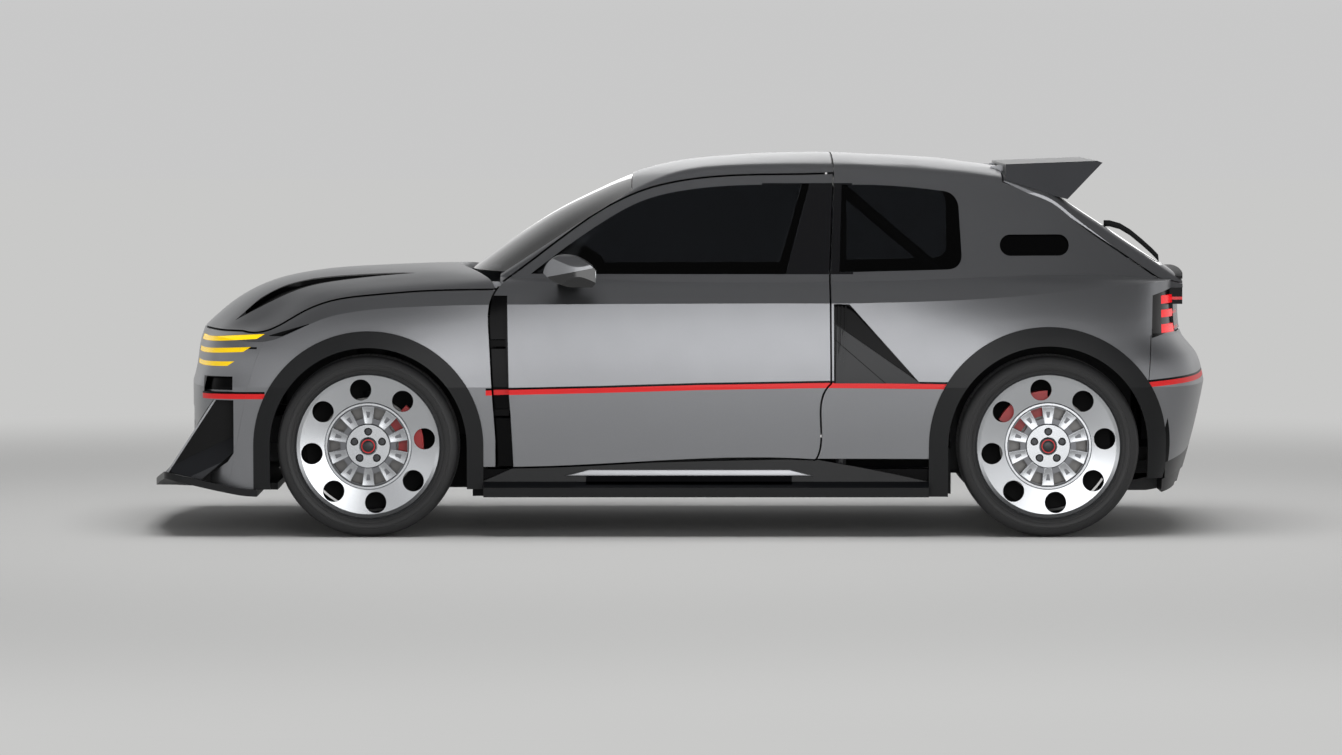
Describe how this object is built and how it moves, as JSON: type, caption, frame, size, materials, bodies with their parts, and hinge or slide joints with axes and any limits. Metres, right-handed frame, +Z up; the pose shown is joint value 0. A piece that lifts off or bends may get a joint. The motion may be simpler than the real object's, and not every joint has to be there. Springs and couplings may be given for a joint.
{
  "type": "rally hatchback car",
  "caption": "Low three-door rally hatchback with wide arches, opening doors, bonnet and tailgate, steered front wheels and a roof spoiler.",
  "frame": {"origin": "on the ground, at the middle of the car's length and width", "axes": "+X towards the tail, +Y towards the car's right side, +Z up"},
  "size_m": [4.0162, 2.0024, 1.4276],
  "materials": {
    "paint": "satin metallic dark grey",
    "trim_black": "moulded, fine grain",
    "gloss_black": "polished",
    "tinted_glass": "dark tint",
    "chassis": "semi-matt",
    "engine": "as cast",
    "cage": "semi-gloss",
    "upright": "machined",
    "rim": "diamond turned",
    "tyre": "rubber",
    "dash": "grained",
    "seat": "woven",
    "grip": "stitched",
    "lamp_front": "clear over black",
    "lamp_rear": "clear over red",
    "cladding": "satin"
  },
  "bodies": {
    "body": {"floor_pan": "chassis", "front_structure": "chassis", "rear_structure": "chassis", "power_unit": "engine", "side_frame_left": "paint", "side_frame_right": "paint", "roof": "paint", "rear_body": "paint", "scuttle": "trim_black", "windscreen": "tinted_glass", "quarter_glass": "tinted_glass", "fender_left": "paint", "fender_right": "paint", "front_bumper": "paint", "headlamps": "lamp_front", "front_grille": "trim_black", "splitter": "cladding", "arch_flares": "cladding", "side_skirts": "cladding", "rear_bumper": "paint", "diffuser": "cladding", "tail_lamps": "lamp_rear", "dashboard": "dash", "seats": "seat", "roll_cage": "cage", "rear_axle": "upright"},
    "bonnet": {"bonnet": "paint"},
    "tailgate": {"tailgate": "paint", "rear_glass": "tinted_glass", "roof_spoiler": "cladding"},
    "steering_wheel": {"steering_wheel": "grip"},
    "door_left": {"door_left": "paint", "door_glass_left": "tinted_glass", "mirror_left": "gloss_black"},
    "knuckle_left": {"knuckle_left": "upright"},
    "wheel_front_left": {"wheel_front_left": "rim", "tyre_front_left": "tyre"},
    "wheel_rear_left": {"wheel_rear_left": "rim", "tyre_rear_left": "tyre"},
    "door_right": {"door_right": "paint", "door_glass_right": "tinted_glass", "mirror_right": "gloss_black"},
    "knuckle_right": {"knuckle_right": "upright"},
    "wheel_front_right": {"wheel_front_right": "rim", "tyre_front_right": "tyre"},
    "wheel_rear_right": {"wheel_rear_right": "rim", "tyre_rear_right": "tyre"}
  },
  "joints": [
    {"name": "door_left_hinge", "type": "hinge", "parent": "body", "child": "door_left", "pos_m": [-0.636, -0.835, 0.6], "axis": [0, 0, -1], "range_deg": [0, 65]},
    {"name": "door_right_hinge", "type": "hinge", "parent": "body", "child": "door_right", "pos_m": [-0.636, 0.835, 0.6], "axis": [0, 0, 1], "range_deg": [0, 65]},
    {"name": "bonnet_hinge", "type": "hinge", "parent": "body", "child": "bonnet", "pos_m": [-0.702, 0, 0.93], "axis": [0, 1, 0], "range_deg": [0, 50]},
    {"name": "tailgate_hinge", "type": "hinge", "parent": "body", "child": "tailgate", "pos_m": [1.205, 0, 1.372], "axis": [0, -1, 0], "range_deg": [0, 70]},
    {"name": "steer_left", "type": "hinge", "parent": "body", "child": "knuckle_left", "pos_m": [-1.174, -0.715, 0.34], "axis": [0, 0, 1], "range_deg": [-30, 30]},
    {"name": "steer_right", "type": "hinge", "parent": "body", "child": "knuckle_right", "pos_m": [-1.174, 0.715, 0.34], "axis": [0, 0, 1], "range_deg": [-30, 30]},
    {"name": "steering_wheel_turn", "type": "hinge", "parent": "body", "child": "steering_wheel", "pos_m": [-0.26333, -0.36, 0.85882], "axis": [0.9487, 0, 0.3162], "range_deg": [-390, 390]},
    {"name": "wheel_front_left_spin", "type": "hinge", "parent": "knuckle_left", "child": "wheel_front_left", "pos_m": [-1.174, -0.8, 0.34], "axis": [0, 1, 0], "continuous": true},
    {"name": "wheel_front_right_spin", "type": "hinge", "parent": "knuckle_right", "child": "wheel_front_right", "pos_m": [-1.174, 0.8, 0.34], "axis": [0, 1, 0], "continuous": true},
    {"name": "wheel_rear_left_spin", "type": "hinge", "parent": "body", "child": "wheel_rear_left", "pos_m": [1.366, -0.8, 0.34], "axis": [0, 1, 0], "continuous": true},
    {"name": "wheel_rear_right_spin", "type": "hinge", "parent": "body", "child": "wheel_rear_right", "pos_m": [1.366, 0.8, 0.34], "axis": [0, 1, 0], "continuous": true}
  ],
  "couplings": [
    {"joint": "steer_right", "follows": "steer_left", "ratio": 1},
    {"joint": "steering_wheel_turn", "follows": "steer_left", "ratio": 13}
  ]
}
